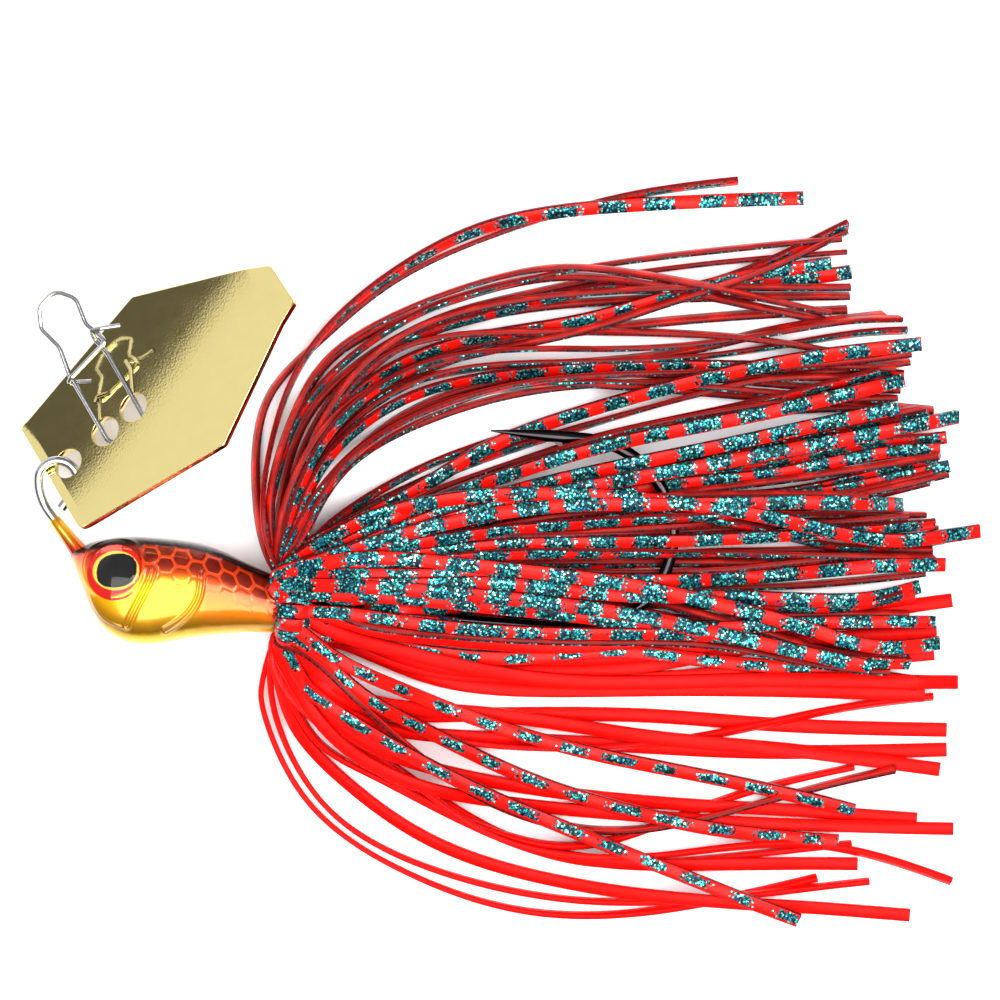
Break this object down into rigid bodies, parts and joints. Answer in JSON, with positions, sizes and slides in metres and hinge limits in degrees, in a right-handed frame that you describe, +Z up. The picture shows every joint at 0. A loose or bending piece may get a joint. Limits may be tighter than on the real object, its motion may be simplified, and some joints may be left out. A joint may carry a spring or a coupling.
{
  "type": "bladed fishing jig",
  "caption": "Fishing jig lying on its side: hexagonal gold blade on a wire eye, with a wire line clip, painted fish-shaped lead head, fixed black hook and a long silicone strand skirt.",
  "frame": {"origin": "bottom centre of the bounding box, with the jig lying on its right side on a table", "axes": "+X from the fish's nose back to the skirt tips, +Y towards the fish's back, +Z up, towards its left side"},
  "size_m": [0.1062, 0.0826, 0.0148],
  "materials": {
    "head_paint": "high-gloss candy lacquer over metallic gold, black back, red-brown scales, yellow belly",
    "bright_wire": "bright stainless spring wire",
    "black_nickel": "polished black nickel",
    "gold_plate": "mirror gold plating with fine orange peel",
    "eye_foil": "printed foil: red ring, thin yellow ring, black pupil",
    "eye_lens": "clear epoxy dome",
    "silicone_printed": "red silicone strand printed with bars of teal glitter",
    "silicone_plain": "plain bright red silicone strand, satin and slightly translucent",
    "band_rubber": "black rubber band"
  },
  "bodies": {
    "jig": {"head_body": "head_paint", "line_wire": "bright_wire", "hook": "black_nickel", "eye_print_left": "eye_foil", "eye_print_right": "eye_foil", "eye_dome_left": "eye_lens", "eye_dome_right": "eye_lens", "skirt_band": "band_rubber", "skirt_collar": "silicone_printed", "skirt_top_sweep": "silicone_printed", "skirt_upper_fan": "silicone_printed", "skirt_upper_rear": "silicone_printed", "skirt_over_upper": "silicone_printed", "skirt_over_middle": "silicone_printed", "skirt_over_lower": "silicone_printed", "skirt_printed_low": "silicone_printed", "skirt_under_upper": "silicone_printed", "skirt_under_lower": "silicone_printed", "skirt_plain_upper": "silicone_plain", "skirt_plain_lower": "silicone_plain", "skirt_bottom_sweep": "silicone_plain"},
    "blade": {"blade": "gold_plate"},
    "snap": {"snap": "bright_wire"}
  },
  "joints": [
    {"name": "blade_swing", "type": "hinge", "parent": "jig", "child": "blade", "pos_m": [-0.04866, 0.00767, 0.00522], "axis": [0, 0, 1], "range_deg": [-20, 125]},
    {"name": "snap_swing", "type": "hinge", "parent": "blade", "child": "snap", "pos_m": [-0.04157, 0.01418, 0.00641], "axis": [0.7566, 0.6349, 0.1564], "range_deg": [0, 126]}
  ]
}
